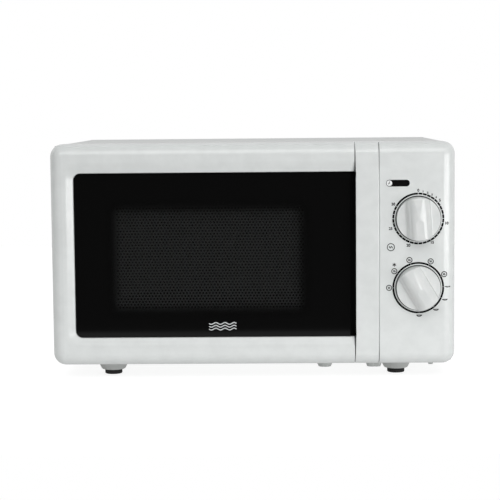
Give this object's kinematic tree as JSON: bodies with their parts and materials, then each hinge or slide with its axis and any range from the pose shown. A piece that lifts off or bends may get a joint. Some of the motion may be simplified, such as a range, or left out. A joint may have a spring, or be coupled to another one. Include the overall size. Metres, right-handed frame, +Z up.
{
  "type": "microwave oven",
  "caption": "Compact countertop microwave oven with a swinging door, bridge handle, timer and power knobs, and a glass turntable on rollers.",
  "frame": {"origin": "middle of the object's box in X and Y, in the plane its feet stand on", "axes": "+X to the right as seen from the front, -Y out of the front, +Z up"},
  "size_m": [0.44, 0.358, 0.259],
  "materials": {
    "white_plastic": "glossy injection-moulded ABS",
    "knob_plastic": "satin injection-moulded ABS",
    "black_glass": "gloss black acrylic with a clear centre",
    "window_film": "clear film behind the screen",
    "enamelled_steel": "light grey enamel on sheet steel",
    "white_painted_steel": "white powder coat",
    "zinc_steel": "galvanised sheet steel",
    "spring_steel": "bright steel wire and screws",
    "core_steel": "varnished steel laminations",
    "grey_plastic": "moulded dark grey plastic",
    "black_plastic": "moulded black plastic",
    "red_plastic": "moulded red plastic",
    "nylon": "natural nylon",
    "foot_plastic": "light grey moulded plastic",
    "black_rubber": "black rubber",
    "mica": "pressed mica sheet",
    "copper": "copper and enamelled copper wire",
    "fin_aluminium": "bright thin sheet",
    "can_aluminium": "drawn can",
    "ferrite": "sintered ferrite",
    "circuit_board": "green lacquered board",
    "lamp_glass": "clear bulb glass",
    "clear_glass": "pressed tempered glass"
  },
  "bodies": {
    "door": {"door_frame": "white_plastic", "door_window": "black_glass", "door_handle": "white_plastic", "door_plate": "enamelled_steel", "door_choke_cover": "grey_plastic", "door_inner_window": "window_film", "door_bushes": "nylon", "door_hook_spring": "spring_steel"},
    "door_hook": {"door_hook": "grey_plastic"},
    "cabinet": {"door_hinges": "zinc_steel", "control_panel": "white_plastic", "timer_unit": "grey_plastic", "timer_bell": "zinc_steel", "cavity_front_plate": "enamelled_steel", "cavity_floor": "enamelled_steel", "cavity_ceiling": "enamelled_steel", "cavity_left_wall": "enamelled_steel", "cavity_right_wall": "enamelled_steel", "cavity_back_wall": "enamelled_steel", "outer_cover": "white_painted_steel", "base_plate": "zinc_steel", "rear_panel": "zinc_steel", "rear_spacers": "black_plastic", "cover_screws": "spring_steel", "cord_gland": "black_plastic", "foot_cups": "foot_plastic", "foot_pads": "black_rubber", "latch_board": "nylon", "door_switches": "black_plastic", "waveguide": "zinc_steel", "waveguide_cover": "mica", "magnetron_yoke": "zinc_steel", "magnetron_anode": "copper", "magnetron_fins": "fin_aluminium", "magnetron_magnets": "ferrite", "transformer_core": "core_steel", "transformer_windings": "copper", "capacitor": "can_aluminium", "capacitor_clamp": "zinc_steel", "diode": "black_plastic", "fan_shroud": "nylon", "fan_motor": "core_steel", "oven_lamp": "lamp_glass", "lamp_holder": "nylon", "thermal_cutouts": "black_plastic", "filter_board": "circuit_board", "turntable_motor": "zinc_steel"},
    "timer": {"timer_knob": "knob_plastic", "timer_shaft": "nylon"},
    "power": {"power_knob": "knob_plastic", "power_shaft": "nylon"},
    "upper_plunger": {"upper_plunger": "red_plastic"},
    "lower_plungers": {"lower_plungers": "red_plastic"},
    "fan": {"fan_blade": "nylon"},
    "turntable": {"turntable_coupler": "nylon", "glass_tray": "clear_glass"},
    "roller_ring": {"roller_ring": "nylon"},
    "roller_wheel_1": {"roller_wheel_1": "nylon"},
    "roller_wheel_2": {"roller_wheel_2": "nylon"},
    "roller_wheel_3": {"roller_wheel_3": "nylon"}
  },
  "joints": [
    {"name": "door_swing", "type": "hinge", "parent": "cabinet", "child": "door", "pos_m": [-0.2135, -0.14, 0.13775], "axis": [0, 0, -1], "range_deg": [0, 100]},
    {"name": "hook_lift", "type": "slide", "parent": "door", "child": "door_hook", "axis": [0, 0, 1], "range_m": [0, 0.004], "stiffness_N_per_m": 300, "springref_m": -0.003, "deforming": ["door_hook_spring"]},
    {"name": "timer_turn", "type": "hinge", "parent": "cabinet", "child": "timer", "pos_m": [0.1795, -0.161, 0.176], "axis": [0, 1, 0], "range_deg": [0, 300]},
    {"name": "power_turn", "type": "hinge", "parent": "cabinet", "child": "power", "pos_m": [0.1795, -0.161, 0.1008], "axis": [0, 1, 0], "range_deg": [-59, 211]},
    {"name": "turntable_spin", "type": "hinge", "parent": "cabinet", "child": "turntable", "pos_m": [-0.0417, 0.0183, 0.0365], "axis": [0, 0, 1], "continuous": true},
    {"name": "ring_roll", "type": "hinge", "parent": "cabinet", "child": "roller_ring", "pos_m": [-0.0417, 0.0183, 0.0365], "axis": [0, 0, 1], "continuous": true},
    {"name": "wheel_1_roll", "type": "hinge", "parent": "roller_ring", "child": "roller_wheel_1", "pos_m": [0.0533, 0.0183, 0.0445], "axis": [-1, 0, 0], "continuous": true},
    {"name": "wheel_2_roll", "type": "hinge", "parent": "roller_ring", "child": "roller_wheel_2", "pos_m": [-0.0892, 0.10057, 0.0445], "axis": [0.5, -0.866, 0], "continuous": true},
    {"name": "wheel_3_roll", "type": "hinge", "parent": "roller_ring", "child": "roller_wheel_3", "pos_m": [-0.0892, -0.06397, 0.0445], "axis": [0.5, 0.866, 0], "continuous": true},
    {"name": "fan_spin", "type": "hinge", "parent": "cabinet", "child": "fan", "pos_m": [0.1649, 0.152, 0.18375], "axis": [0, 1, 0], "continuous": true},
    {"name": "upper_plunger_press", "type": "slide", "parent": "cabinet", "child": "upper_plunger", "axis": [0, 1, 0], "range_m": [0, 0.0015], "stiffness_N_per_m": 300, "springref_m": -0.001},
    {"name": "lower_plungers_press", "type": "slide", "parent": "cabinet", "child": "lower_plungers", "axis": [0, 1, 0], "range_m": [0, 0.0015], "stiffness_N_per_m": 300, "springref_m": -0.001}
  ],
  "couplings": [
    {"joint": "ring_roll", "follows": "turntable_spin", "ratio": 0.5},
    {"joint": "wheel_1_roll", "follows": "turntable_spin", "ratio": 6.1688},
    {"joint": "wheel_2_roll", "follows": "turntable_spin", "ratio": 6.1688},
    {"joint": "wheel_3_roll", "follows": "turntable_spin", "ratio": 6.1688}
  ]
}
